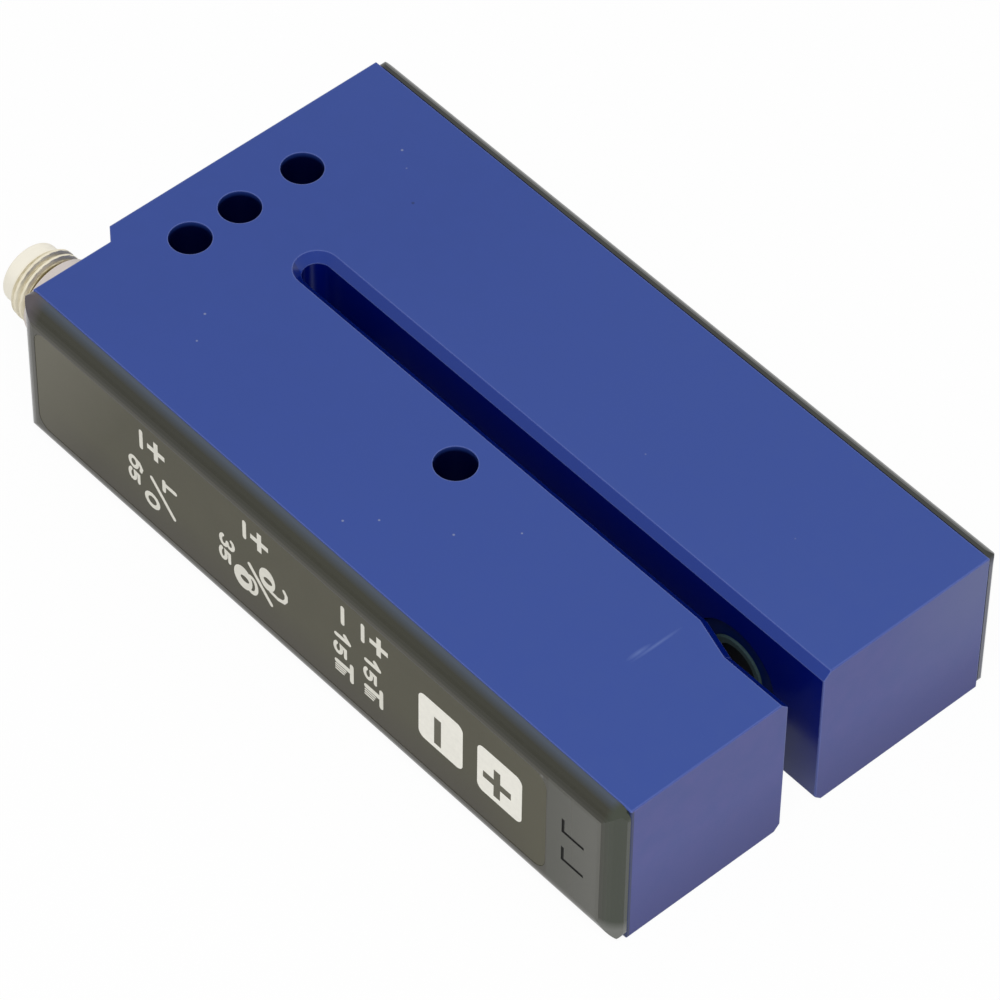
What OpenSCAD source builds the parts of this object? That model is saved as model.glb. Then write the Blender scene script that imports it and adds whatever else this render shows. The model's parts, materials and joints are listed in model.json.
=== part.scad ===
// Ultrasonic fork sensor that finds the gaps between labels on a backing web.
// Millimetres. The body lies on its flat underside with +Z up, the open end of the fork
// points to +X and the keypad faces -Y. The origin is the centre of the underside.

/* [Body] */
// Length of the milled body, without the connector
body_l = 83.5; // [83:0.5:100]
// Width of the milled body, without the covers
body_w = 43.5; // [43:0.5:50]
// Height of the milled body
body_h = 18; // [18:0.25:22]
// Break on the outer edges
edge_break = 0.1; // [0.1:0.05:0.4]

/* [Sensing slot] */
// Solid length behind the slot, up to the crown of its round end
slot_back = 15.5; // [15.5:0.25:30]
// Width of the slot
slot_gap = 3; // [2.4:0.1:3.2]
// Thickness of the arm on the keypad side
keypad_arm = 20; // [19.5:0.1:20.5]
// Chamfer along the slot, above and below
slot_chamfer = 0.85; // [0.4:0.05:1]
// How far the mouth is set back into the keypad arm
mouth_step = 1.3; // [0.8:0.1:1.6]
// Length of the wide mouth
mouth_l = 7.3; // [5:0.1:8]
// Length of the ramp that leads into the wide mouth
ramp_l = 4.5; // [3:0.1:6]

/* [Mounting holes] */
// Diameter of the through holes
hole_d = 4.2; // [3.2:0.1:4.4]
// Distance of the rear holes from the back face
hole_back = 6.2; // [5.5:0.1:6.4]
// Pitch of the two holes along the keypad arm
hole_pitch = 37.35; // [30:0.05:42]
// Distance of those two holes from the slot wall
hole_inset = 4.85; // [4.4:0.05:5.2]
// Step from that row to the hole behind the slot
hole_step_mid = 6.05; // [5.5:0.05:6.5]
// Step from there to the hole behind the plain arm
hole_step_far = 7.7; // [7:0.1:9]

/* [Pockets and duct] */
// Wall above and below the electronics pockets
pocket_wall = 3; // [2.8:0.1:3.1]
// Corner radius of the pockets
pocket_r = 3; // [2.5:0.1:4]
// Wall between the back face and the pockets
pocket_back = 8.4; // [8.3:0.1:9]
// Wall between the pockets and the open end
pocket_front = 3; // [2.8:0.1:3.5]
// Web between a pocket and the slot
web = 8.2; // [7.8:0.1:8.6]
// Diameter of the duct that joins the pockets
duct_d = 3; // [2.8:0.1:3.2]
// Wall between the duct and the end of the slot
duct_wall = 2; // [1.6:0.1:2.2]

/* [Covers] */
// Thickness of a cover
cover_t = 1.75; // [1.6:0.05:2.4]
// Height of the upright rim at the edge of a cover
cover_rim = 0.4; // [0.35:0.05:0.6]
// Width of the curved edge between the rim and the flat of a cover
cover_bevel = 2.3; // [1.8:0.1:2.6]
// Corner radius of a cover, seen from the side
cover_corner = 1.2; // [0.6:0.1:1.6]
// Reach of the keypad cover past the floor of the corner recess
cover_overhang = 0.4; // [0:0.1:0.6]
// Wall of a cover over its hollow
cover_wall = 1.2; // [1.1:0.05:1.4]
// Depth of the lip that plugs into the pocket
lip_h = 1.5; // [1:0.1:1.6]
// Thickness of that lip
lip_t = 1; // [0.8:0.1:1.1]

/* [Label and keys] */
// Thickness of the foil label
label_t = 0.2; // [0.15:0.05:0.3]
// Bare window between the label and the open end
label_front = 8.9; // [8.4:0.1:10]
// Margin between the curved edge of the cover and the label
label_margin = 0.2; // [0.15:0.05:0.5]
// Corner radius of the label
label_r = 1.5; // [1:0.1:2]
// Height of the keys above the middle of the body
key_rise = 0.2; // [0:0.1:0.5]
// Distance of the plus key from the open end
plus_front = 14.95; // [14.4:0.05:15.2]
// Pitch of the two keys
key_pitch = 7.75; // [7.4:0.05:8.4]
// Travel of a key
key_travel = 0.25; // [0.15:0.05:0.35]
// Distance of the lamp windows from the open end
lamp_front = 5.3; // [5.1:0.1:5.5]
// Pitch of the two lamp windows
lamp_pitch = 3.9; // [3.4:0.1:4.6]

/* [Transducers] */
// Distance of the sound axis from the open end
sound_front = 11.1; // [10.5:0.1:12]
// Diameter of a transducer capsule
capsule_d = 10.4; // [9.6:0.1:10.6]
// Diameter of its flange
flange_d = 11.5; // [11.3:0.1:11.7]
// Outer diameter of the damping ring
ring_d = 6.8; // [6:0.1:7]
// Diameter of the sound membrane inside the ring
membrane_d = 4.9; // [4:0.1:5]

/* [Connector] */
// Distance of the connector axis from the keypad side
conn_y = 6.2; // [6.1:0.05:6.4]
// Depth of the corner recess behind the connector
recess_d = 1.6; // [1:0.1:2]
// Width of the recess floor
recess_w = 9.3; // [9:0.1:10]
// Extra width of the recess at the back face
recess_ramp = 1.2; // [0.8:0.1:1.6]
// Outer radius of the threaded stretch
thread_r = 3.9; // [3.8:0.05:4]
// Radius of the collar
collar_r = 4.3; // [4.2:0.05:4.5]
// Radius of the smooth nose
nose_r = 3.3; // [3.2:0.05:3.4]
// Reach of the collar behind the back face
collar_reach = 2.9; // [2.6:0.1:3.4]
// Length of the undercut between the collar and the thread
undercut_l = 0.7; // [0.5:0.1:0.9]
// Length of the threaded stretch
thread_l = 2; // [1.8:0.1:3.4]
// Length of the smooth nose
nose_l = 1.8; // [1.4:0.1:2.6]
// Radius of a contact pin
pin_r = 0.45; // [0.35:0.05:0.45]
// Distance of a pin from the connector axis, along each side
pin_offset = 1; // [0.9:0.05:1.05]

/* [Hidden] */
$fn = 48;

// Shared overrun of cuts and general fits
over = 1;
hair = 0.01;
snug = 0.03;
free = 0.1;

// Slot, in body coordinates
mid_h = body_h / 2;
slot_r = slot_gap / 2;
slot_mid = keypad_arm + slot_r;
far_wall = keypad_arm + slot_gap;
mouth_start = body_l - mouth_l;
ramp_start = mouth_start - ramp_l;
ramp_angle = atan(mouth_step / ramp_l);

// Holes, in body coordinates
row_y = keypad_arm - hole_inset;
mid_hole_y = row_y + hole_step_mid;
far_hole_y = mid_hole_y + hole_step_far;

// Pockets, in body coordinates
pocket_end = body_l - pocket_front;
keypad_depth = keypad_arm - mouth_step - web;
plain_depth = body_w - far_wall - web;
duct_x = slot_back - duct_wall - duct_d / 2;
seal_gap = 0.8;
seal_w = 0.9;
seal_h = 0.8;

// Boards and what stands on them
board_t = 1.6;
board_fit = 0.25;
board_gap = conn_y - pin_offset - pin_r - 0.05 - board_t;
board_back = board_gap + board_t;
post_r = 2.2;
post_front = 31.5;
post_back = 1.2;
screw_r = 1;
screw_l = 5.5;
screw_head_r = 1.8;
screw_head_h = 1.2;
cable_r = duct_d / 2 - 0.3;
switch_w = 4.6;
switch_h = 2.4;
switch_lid = 0.4;
plunger_r = 1.1;
plunger_collar_r = 1.6;
plunger_collar_h = 0.4;
plunger_seat = switch_h - switch_lid - plunger_collar_h - snug;
switch_floor = plunger_seat - key_travel - snug;
plus_x = body_l - plus_front;
minus_x = plus_x - key_pitch;
key_y = mid_h + key_rise;
lamp_x = body_l - lamp_front;
lamp_window = [2.7, 1.6];
lamp_sink = 0.5;
label_sink = 0.02;
label_floor = cover_t - label_sink - label_t;
keypad_cover_start = recess_d - cover_overhang;
mark_w = 0.26;
mark_depth = 0.12;
mark_back = 1.35;
mark_front = 1.3;
mark_low = 0.7;
mark_high = 0.95;

processor_at = 22;
processor_w = 7;
processor_t = 1.1;
processor_pitch = 0.7;
driver_w = 5;
driver_h = 3.9;
driver_t = 1.3;
driver_pitch = 1.2;
driver_drop = 0.5;
capacitor_at = 4.6;
capacitor_spread = 2.4;
capacitor_r = 1.8;
capacitor_h = 2.4;
bead_at = 0.5;
bead_h = 0.4;
transformer_at = 26;
transformer_r = 3.4;
transformer_h = 3;
drum_r = 2.9;
drum_lip = 0.6;
leg_w = 0.3;
leg_t = 0.15;
leg_reach = 0.9;

// Transducers, measured from the face of the capsule towards its pocket
sound_x = body_l - sound_front;
face_recess = 0.3;
capsule_l = web - face_recess;
flange_t = 1;
ring_sink = 0.6;
ring_proud = 0.2;
front_wall = 1.8;
capsule_wall = 1;
disc_rim = 0.7;
cavity_r = capsule_d / 2 - capsule_wall;
disc_r = cavity_r - disc_rim;
disc_t = 1;
lead_r = 0.3;
lead_spread = 1.8;

// Connector, measured along its axis, outwards from the back face
thread_start = collar_reach + undercut_l;
thread_end = thread_start + thread_l;
nose_end = thread_end + nose_l;
barrel_r = 4;
barrel_end = pocket_back - 1;
socket_r = 2.6;
socket_floor = 1;
groove_at = recess_d + 1.8;
groove_w = 1;
groove_depth = 0.6;
cord_r = 0.31;

// Puts the body coordinates, with the back keypad corner at zero, on the part's origin
module place() {
    translate([-(body_l - nose_end) / 2, -body_w / 2, 0]) children();
}

// Side frames: x along the body, y across its height, z outwards from the side face
module keypad_side() {
    rotate([90, 0, 0]) children();
}
module plain_side() {
    translate([0, body_w, body_h]) rotate([-90, 0, 0]) children();
}
// Connector frame: z outwards along the connector axis, zero at the back face
module connector_frame() {
    translate([0, conn_y, mid_h]) rotate([0, -90, 0]) children();
}

module rounded_rect(x0, y0, x1, y1, r) {
    translate([x0 + r, y0]) square([x1 - x0 - 2 * r, y1 - y0]);
    translate([x0, y0 + r]) square([x1 - x0, y1 - y0 - 2 * r]);
    for (x = [x0 + r, x1 - r], y = [y0 + r, y1 - r]) translate([x, y]) circle(r);
}
// Outline of the pockets, grown outwards or shrunk inwards
module pocket_outline(grow = 0) {
    rounded_rect(pocket_back - grow, pocket_wall - grow, pocket_end + grow,
        body_h - pocket_wall + grow, pocket_r + grow);
}
// Extrudes an outline between two levels of a side frame
module layer(low, high) {
    translate([0, 0, low]) linear_extrude(high - low) children();
}

// Section of a bar that cuts a chamfer on the corner of a solid below and left of it
module chamfer_section(size) {
    polygon([[hair, -size - hair], [hair, hair], [-size - hair, hair]]);
}
// Bar along x that chamfers the upper edge of a wall on its -y side
module chamfer_bar(length, size) {
    rotate([90, 0, 90]) linear_extrude(length) chamfer_section(size);
}
// Draws what lies at the upper face again at the lower one
module both_faces() {
    translate([0, 0, body_h]) children();
    mirror([0, 0, 1]) children();
}
// Chamfers along the slot at the upper face
module slot_chamfers() {
    c = slot_chamfer;
    run_start = slot_back + slot_r;
    miter = c * tan(ramp_angle / 2);
    translate([run_start, slot_mid, -c])
        cylinder(h = c + hair, r1 = slot_r, r2 = slot_r + c + hair);
    translate([run_start, keypad_arm, 0]) chamfer_bar(ramp_start - run_start + c, c);
    translate([ramp_start, keypad_arm, 0]) rotate([0, 0, -ramp_angle])
        translate([-c, 0, 0]) chamfer_bar(ramp_l / cos(ramp_angle) + c + miter, c);
    translate([mouth_start - miter, keypad_arm - mouth_step, 0])
        chamfer_bar(mouth_l + miter + over, c);
    translate([run_start, far_wall, 0]) mirror([0, 1, 0])
        chamfer_bar(body_l - run_start + over, c);
}
module slot_cut() {
    run_start = slot_back + slot_r;
    mouth_wall = keypad_arm - mouth_step;
    translate([0, 0, -over]) linear_extrude(body_h + 2 * over) {
        translate([run_start, slot_mid]) circle(slot_r);
        polygon([[run_start, keypad_arm], [ramp_start, keypad_arm], [mouth_start, mouth_wall],
            [body_l + over, mouth_wall], [body_l + over, far_wall], [run_start, far_wall]]);
    }
    both_faces() slot_chamfers();
}
// Body outline seen from above, with the recess at the connector corner
module body_outline() {
    polygon([[recess_d, 0], [body_l, 0], [body_l, body_w], [0, body_w],
        [0, recess_w + recess_ramp], [recess_d, recess_w]]);
}
// Bars that break the outer edges of a face: ends, sides and the connector recess
module face_breaks() {
    translate([-over, body_w, 0]) chamfer_bar(body_l + 2 * over, edge_break);
    mirror([0, 1, 0]) chamfer_bar(body_l + over, edge_break);
    translate([body_l, body_w + over, 0]) rotate([0, 0, -90])
        chamfer_bar(body_w + 2 * over, edge_break);
    translate([0, recess_w, 0]) rotate([0, 0, 90]) chamfer_bar(body_w, edge_break);
    translate([recess_d, -over, 0]) rotate([0, 0, 90]) chamfer_bar(recess_w + over, edge_break);
}
module upright_break() {
    translate([0, 0, -over]) linear_extrude(body_h + 2 * over) chamfer_section(edge_break);
}
module edge_breaks() {
    both_faces() face_breaks();
    for (y = [keypad_arm - mouth_step, body_w]) translate([body_l, y, 0]) upright_break();
    for (y = [0, far_wall]) translate([body_l, y, 0]) mirror([0, 1, 0]) upright_break();
    translate([0, body_w, 0]) mirror([1, 0, 0]) upright_break();
    translate([recess_d, 0, 0]) rotate(180) upright_break();
}
// Pocket, seal groove and transducer seat in one side of the body
module side_cuts(depth, reach) {
    layer(-depth, over) pocket_outline();
    layer(-seal_h, over) difference() {
        pocket_outline(seal_gap + seal_w);
        pocket_outline(seal_gap);
    }
    translate([sound_x, mid_h, -depth - reach - 0.5])
        cylinder(h = reach + over, r = capsule_d / 2 + snug);
}
// Centres of the two board posts of one side: one low at the back, one high in front
function post_places() = [[pocket_back + pocket_r + post_r + post_back, pocket_wall + post_r],
    [body_l - post_front, body_h - pocket_wall - post_r]];
module board_posts(depth) {
    for (i = [0, 1]) {
        p = post_places()[i];
        translate([p[0], p[1], -depth - hair]) cylinder(h = depth + hair - board_back, r = post_r);
        translate([p[0] - post_r, p[1] - (i == 0 ? post_r + hair : 0), -depth - hair])
            cube([2 * post_r, post_r + hair, depth + hair - board_back]);
    }
}
module board_post_holes() {
    for (p = post_places())
        translate([p[0], p[1], -board_back - screw_l + board_t])
            cylinder(h = screw_l, r = screw_r + snug);
}
module fork_body() {
    color([0.26, 0.33, 0.6]) place() difference() {
        union() {
            difference() {
                linear_extrude(body_h) body_outline();
                slot_cut();
                keypad_side() side_cuts(keypad_depth, web + mouth_step);
                plain_side() side_cuts(plain_depth, web);
            }
            keypad_side() board_posts(keypad_depth);
            plain_side() board_posts(plain_depth);
        }
        keypad_side() board_post_holes();
        plain_side() board_post_holes();
        for (p = [[hole_back, row_y], [hole_back + hole_pitch, row_y], [hole_back, mid_hole_y],
            [hole_back, far_hole_y]])
            translate([p[0], p[1], -over]) cylinder(h = body_h + 2 * over, d = hole_d);
        translate([duct_x, keypad_depth - over, mid_h]) rotate([-90, 0, 0])
            cylinder(h = body_w - plain_depth - keypad_depth + 2 * over, d = duct_d);
        connector_frame() {
            translate([0, 0, -pocket_back - over])
                cylinder(h = pocket_back + over, r = barrel_r + snug);
            translate([0, 0, -recess_d]) cylinder(h = recess_d + over, r = collar_r + free);
        }
        edge_breaks();
    }
}

// Points of an arc, without its first one
function arc(cx, cy, r, from, to, steps) =
    [for (i = [1:steps]) let (a = from + (to - from) * i / steps) [cx + r * cos(a), cy + r * sin(a)]];
// Half of a cover's section: upright rim, then one arc that runs out into the flat
function cover_edge() =
    let (rise = cover_t - cover_rim, r = (cover_bevel * cover_bevel + rise * rise) / (2 * rise))
    concat([[0, 0], [0, cover_rim]],
        arc(cover_bevel, cover_t - r, r, 180 - atan((r - rise) / cover_bevel), 90, 7));
// Whole section across a span, the second half mirrored
function cover_section(span) =
    let (half = cover_edge(), n = len(half))
    concat(half, [for (i = [n - 1:-1:0]) [span - half[i][0], half[i][1]]]);
// Solid cover with the curved edge on all four sides, mitred at the corners
module cover_blank(start) {
    span = body_l - start;
    intersection() {
        translate([start, 0, 0]) rotate([90, 0, 90]) linear_extrude(span)
            polygon(cover_section(body_h));
        translate([start, body_h, 0]) rotate([90, 0, 0]) linear_extrude(body_h)
            polygon(cover_section(span));
        layer(0, cover_t) rounded_rect(start, 0, body_l, body_h, cover_corner);
    }
}
// Moulded cover: blank, hollow inside, with the lip that plugs into the pocket
module cover_shell(start) {
    difference() {
        union() {
            cover_blank(start);
            layer(-lip_h, hair) pocket_outline(-free);
        }
        layer(-lip_h - over, cover_t - cover_wall) pocket_outline(-free - lip_t);
    }
}
module label_outline(grow = 0) {
    edge = cover_bevel + label_margin;
    rounded_rect(keypad_cover_start + edge - grow, edge - grow, body_l - label_front + grow,
        body_h - edge + grow, label_r + grow);
}
module keypad_cover() {
    color([0.33, 0.33, 0.3]) place() keypad_side() difference() {
        cover_shell(keypad_cover_start);
        layer(label_floor, cover_t + over) label_outline(snug);
        for (x = [minus_x, plus_x])
            translate([x, key_y, 0]) cylinder(h = cover_t + over, r = plunger_r + 0.4);
        for (side = [-1, 1]) translate([lamp_x, key_y + side * lamp_pitch / 2, 0]) {
            translate([-lamp_window[0] / 2, -lamp_window[1] / 2, cover_t - cover_wall - hair])
                cube([lamp_window[0], lamp_window[1], lamp_sink + hair]);
            layer(cover_t - mark_depth, cover_t + over) lamp_mark();
        }
    }
}
// Sunk corner mark that frames a lamp on two sides
module lamp_mark() {
    translate([-mark_back - mark_w / 2, -mark_low - mark_w / 2])
        square([mark_back + mark_front + mark_w / 2, mark_w]);
    translate([-mark_back - mark_w / 2, -mark_low - mark_w / 2])
        square([mark_w, mark_low + mark_high + mark_w / 2]);
}
module keypad_label() {
    color([0.38, 0.37, 0.31]) place() keypad_side() layer(label_floor, label_floor + label_t)
        label_outline();
}
module plain_cover() {
    color([0.2, 0.2, 0.2]) place() plain_side() cover_shell(0);
}
module cover_seal() {
    layer(-seal_h, 0) difference() {
        pocket_outline(seal_gap + seal_w - snug);
        pocket_outline(seal_gap + snug);
    }
}
module keypad_cover_seal() {
    color([0.12, 0.12, 0.12]) place() keypad_side() cover_seal();
}
module plain_cover_seal() {
    color([0.12, 0.12, 0.12]) place() plain_side() cover_seal();
}

// Bare circuit board on its posts
module circuit_board() {
    layer(-board_back, -board_gap) difference() {
        pocket_outline(-board_fit);
        for (p = post_places()) translate(p) circle(screw_r + free);
    }
}
// Screws of one board, with a slot across the head
module board_screws() {
    for (p = post_places()) translate([p[0], p[1], -board_gap]) difference() {
        union() {
            translate([0, 0, -screw_l]) cylinder(h = screw_l + hair, r = screw_r);
            cylinder(h = screw_head_h, r = screw_head_r);
        }
        translate([-screw_head_r - over, -0.25, screw_head_h - 0.5])
            cube([2 * screw_head_r + 2 * over, 0.5, over]);
    }
}
// Chip with a bevelled top, a mark for its first leg and bent legs along two or four sides
module chip(w, h, t, legs, pitch, sides) {
    stand = 0.1;
    bevel = 0.2;
    mark_in = 1;
    difference() {
        translate([-w / 2, -h / 2, stand]) cube([w, h, t]);
        for (a = [0:90:270]) rotate(a) {
            reach = a % 180 == 0 ? h / 2 : w / 2;
            translate([-w - h, -reach, stand + t]) rotate([45, 0, 0])
                translate([0, -bevel, -bevel]) cube([2 * (w + h), 2 * bevel, 2 * bevel]);
        }
        translate([-w / 2 + mark_in, -h / 2 + mark_in, stand + t - 0.1])
            cylinder(h = over, r = 0.35);
    }
    for (s = [0:sides - 1]) rotate(s * 360 / sides)
        translate([0, s * 360 / sides % 180 == 0 ? -h / 2 : -w / 2, 0])
            for (i = [0:legs - 1]) translate([(i - (legs - 1) / 2) * pitch + leg_w / 2, 0, 0])
                rotate([0, -90, 0]) linear_extrude(leg_w) chip_leg(stand + t * 0.4);
}
// Side of a bent leg: out of the chip, down, and along the board
module chip_leg(rise) {
    polygon([[rise, 0.2], [rise, -leg_reach / 2], [leg_t, -leg_reach / 2 - leg_t],
        [leg_t, -leg_reach], [0, -leg_reach], [0, -leg_reach / 2], [rise - leg_t, -leg_reach / 2 + leg_t],
        [rise - leg_t, 0.2]]);
}
module on_board(x, y) {
    translate([x, y, -board_gap]) children();
}
module main_circuit_board() {
    color([0.05, 0.32, 0.18]) place() keypad_side() circuit_board();
}
module transmitter_board() {
    color([0.05, 0.32, 0.18]) place() plain_side() circuit_board();
}
module processor_chip() {
    color([0.12, 0.12, 0.13]) place() keypad_side() on_board(pocket_back + processor_at, mid_h)
        chip(processor_w, processor_w, processor_t, 8, processor_pitch, 4);
}
// Driver chip, midway between the legs of the processor and the head of the front screw
module driver_chip() {
    low = pocket_back + processor_at + processor_w / 2 + leg_reach;
    high = body_l - post_front - screw_head_r;
    color([0.12, 0.12, 0.13]) place() keypad_side()
        on_board((low + high) / 2, mid_h - driver_drop)
            chip(driver_w, driver_h, driver_t, 4, driver_pitch, 2);
}
// Two capacitors beside the end of the link cable, with the bead round each foot
module board_capacitors() {
    neck = capacitor_r - 0.2;
    color([0.75, 0.62, 0.3]) place() keypad_side() for (side = [-1, 1])
        on_board(duct_x + duct_d + capacitor_at, mid_h + side * capacitor_spread)
            rotate_extrude() polygon([[0, 0], [capacitor_r, 0], [capacitor_r, bead_at],
                [neck, bead_at + bead_h / 2], [capacitor_r, bead_at + bead_h],
                [capacitor_r, capacitor_h - 0.2], [neck, capacitor_h], [0, capacitor_h]]);
}
// Small lamp: ceramic foot and a lens on top
module lamp() {
    translate([-0.9, -0.6, 0]) cube([1.8, 1.2, 0.5]);
    cylinder(h = 1, r1 = 0.58, r2 = 0.45);
}
module power_lamp() {
    color([0.3, 0.8, 0.35]) place() keypad_side() on_board(lamp_x, key_y + lamp_pitch / 2) lamp();
}
module output_lamp() {
    color([0.95, 0.75, 0.2]) place() keypad_side() on_board(lamp_x, key_y - lamp_pitch / 2) lamp();
}
// Push switch with a round chamber, whose floor stops the collar of the plunger at full travel
module key_switch() {
    difference() {
        union() {
            layer(0, switch_h) rounded_rect(-switch_w / 2, -switch_w / 2, switch_w / 2, switch_w / 2, 0.4);
            for (x = [-1, 1], y = [-1, 1])
                translate([x * (switch_w / 2 + 0.3) - 0.4, y * 1.5 - 0.35, 0]) cube([0.8, 0.7, 0.2]);
        }
        translate([0, 0, switch_floor])
            cylinder(h = switch_h - switch_lid - switch_floor, r = plunger_collar_r + free);
        cylinder(h = switch_h + over, r = plunger_r + free);
    }
    cylinder(h = switch_floor, r = plunger_r + 2 * free);
}
// Plunger, held under the lid of its switch by a collar, up to just below the foil label
module key_plunger() {
    top = board_gap + label_floor - snug;
    translate([0, 0, plunger_seat]) {
        cylinder(h = plunger_collar_h, r = plunger_collar_r);
        cylinder(h = top - plunger_seat - 0.3, r = plunger_r);
    }
    translate([0, 0, top - 0.3 - hair]) cylinder(h = 0.3 + hair, r1 = plunger_r, r2 = plunger_r - 0.3);
}
module minus_key_switch() {
    color([0.15, 0.15, 0.16]) place() keypad_side() on_board(minus_x, key_y) key_switch();
}
module plus_key_switch() {
    color([0.15, 0.15, 0.16]) place() keypad_side() on_board(plus_x, key_y) key_switch();
}
module minus_key_plunger() {
    color([0.85, 0.85, 0.82]) place() keypad_side() on_board(minus_x, key_y) key_plunger();
}
module plus_key_plunger() {
    color([0.85, 0.85, 0.82]) place() keypad_side() on_board(plus_x, key_y) key_plunger();
}
module main_board_screws() {
    color([0.7, 0.7, 0.7]) place() keypad_side() board_screws();
}
module transmitter_board_screws() {
    color([0.7, 0.7, 0.7]) place() plain_side() board_screws();
}
// Drum core of the transformer that feeds the transmitter
module pulse_transformer() {
    r = transformer_r;
    h = transformer_h;
    color([0.3, 0.28, 0.26]) place() plain_side() on_board(pocket_back + transformer_at, mid_h)
        rotate_extrude() polygon([[0, 0], [r, 0], [r, drum_lip], [drum_r, drum_lip + 0.15],
            [drum_r, h - drum_lip - 0.15], [r, h - drum_lip], [r, h - 0.2], [r - 0.2, h], [0, h]]);
}

// Capsule frame: z from the face of the capsule, beside the slot, towards its pocket
module capsule_frame(depth) {
    translate([sound_x, mid_h, -depth - capsule_l]) children();
}
// Cup that is open to the pocket, with the seat of the damping ring in its face
module capsule() {
    r = capsule_d / 2;
    flange_end = capsule_l + flange_t;
    rotate_extrude() polygon([[0, ring_proud], [membrane_d / 2, ring_proud],
        [membrane_d / 2, ring_sink], [ring_d / 2, ring_sink], [ring_d / 2, 0], [r - 0.2, 0], [r, 0.2],
        [r, capsule_l], [flange_d / 2, capsule_l], [flange_d / 2, flange_end],
        [cavity_r, flange_end], [cavity_r, front_wall], [0, front_wall]]);
}
module damping_ring() {
    inner = membrane_d / 2 + snug;
    outer = ring_d / 2 - snug;
    rotate_extrude() polygon([[inner, -ring_proud + 0.15], [inner + 0.15, -ring_proud],
        [outer - 0.15, -ring_proud], [outer, -ring_proud + 0.15], [outer, ring_sink],
        [inner, ring_sink]]);
}
module sound_disc() {
    translate([0, 0, front_wall]) cylinder(h = disc_t, r = disc_r);
}
module backing() {
    low = front_wall + disc_t;
    difference() {
        translate([0, 0, low]) cylinder(h = capsule_l + flange_t - 0.5 - low, r = cavity_r - snug);
        for (side = [-1, 1]) translate([side * lead_spread, 0, low - over])
            cylinder(h = capsule_l + flange_t, r = lead_r + snug);
    }
}
module leads(depth) {
    low = front_wall + disc_t;
    for (side = [-1, 1]) translate([side * lead_spread, 0, low])
        cylinder(h = depth + capsule_l - board_back - low, r = lead_r);
}
module receiver_capsule() {
    color([0.13, 0.14, 0.2]) place() keypad_side() capsule_frame(keypad_depth) capsule();
}
module receiver_disc() {
    color([0.85, 0.8, 0.65]) place() keypad_side() capsule_frame(keypad_depth) sound_disc();
}
module receiver_backing() {
    color([0.2, 0.2, 0.2]) place() keypad_side() capsule_frame(keypad_depth) backing();
}
module receiver_ring() {
    color([0.3, 0.36, 0.34]) place() keypad_side() capsule_frame(keypad_depth) damping_ring();
}
module receiver_leads() {
    color([0.8, 0.5, 0.3]) place() keypad_side() capsule_frame(keypad_depth) leads(keypad_depth);
}
module transmitter_capsule() {
    color([0.13, 0.14, 0.2]) place() plain_side() capsule_frame(plain_depth) capsule();
}
module transmitter_disc() {
    color([0.85, 0.8, 0.65]) place() plain_side() capsule_frame(plain_depth) sound_disc();
}
module transmitter_backing() {
    color([0.2, 0.2, 0.2]) place() plain_side() capsule_frame(plain_depth) backing();
}
module transmitter_ring() {
    color([0.3, 0.36, 0.34]) place() plain_side() capsule_frame(plain_depth) damping_ring();
}
module transmitter_leads() {
    color([0.8, 0.5, 0.3]) place() plain_side() capsule_frame(plain_depth) leads(plain_depth);
}
// Round cable straight through the duct, from board to board
module link_cable() {
    color([0.1, 0.1, 0.1]) place() translate([duct_x, board_back, mid_h]) rotate([-90, 0, 0])
        cylinder(h = body_w - 2 * board_back, r = cable_r);
}

// Turned sleeve: barrel with a seal groove, collar, threaded stretch and rounded nose
module connector_sleeve() {
    relief = thread_r - 0.5;
    round_r = 0.4;
    color([0.85, 0.8, 0.7]) place() connector_frame() rotate_extrude() polygon(concat(
        [[socket_r, -barrel_end], [barrel_r - 0.2, -barrel_end], [barrel_r, -barrel_end + 0.2],
        [barrel_r, -groove_at - groove_w], [barrel_r - groove_depth, -groove_at - groove_w],
        [barrel_r - groove_depth, -groove_at], [barrel_r, -groove_at], [barrel_r, -recess_d],
        [collar_r, -recess_d], [collar_r, collar_reach - 0.2], [collar_r - 0.2, collar_reach],
        [relief, collar_reach], [relief, thread_start - 0.2], [thread_r, thread_start],
        [thread_r, thread_end - 0.3],
        [nose_r, thread_end], [nose_r, nose_end - round_r]],
        arc(nose_r - round_r, nose_end - round_r, round_r, 0, 90, 5),
        [[socket_r, nose_end]]));
}
module connector_seal_ring() {
    color([0.1, 0.1, 0.1]) place() connector_frame()
        translate([0, 0, -groove_at - groove_w / 2]) rotate_extrude()
            translate([barrel_r - groove_depth + cord_r + hair, 0]) circle(cord_r);
}
// Insulator that holds the pins, with the coding groove along one side
module connector_insert() {
    tail = pocket_back + 0.2;
    color([0.15, 0.15, 0.15]) place() connector_frame() difference() {
        translate([0, 0, -tail]) cylinder(h = tail + socket_floor, r = socket_r - snug);
        pin_places() translate([0, 0, -tail - over])
            cylinder(h = tail + socket_floor + 2 * over, r = pin_r + snug);
        translate([socket_r - 0.5, -0.4, socket_floor - 2]) cube([over, 0.8, 2 + over]);
    }
}
module pin_places() {
    for (x = [-1, 1], y = [-1, 1]) translate([x * pin_offset, y * pin_offset, 0]) children();
}
module contact_pins() {
    tail = pocket_back + 1.6;
    tip = nose_end - 1.4;
    color([0.85, 0.7, 0.4]) place() connector_frame() pin_places() {
        translate([0, 0, -tail]) cylinder(h = tail + tip, r = pin_r);
        translate([0, 0, tip]) cylinder(h = 0.4, r1 = pin_r, r2 = pin_r - 0.25);
    }
}

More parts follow.
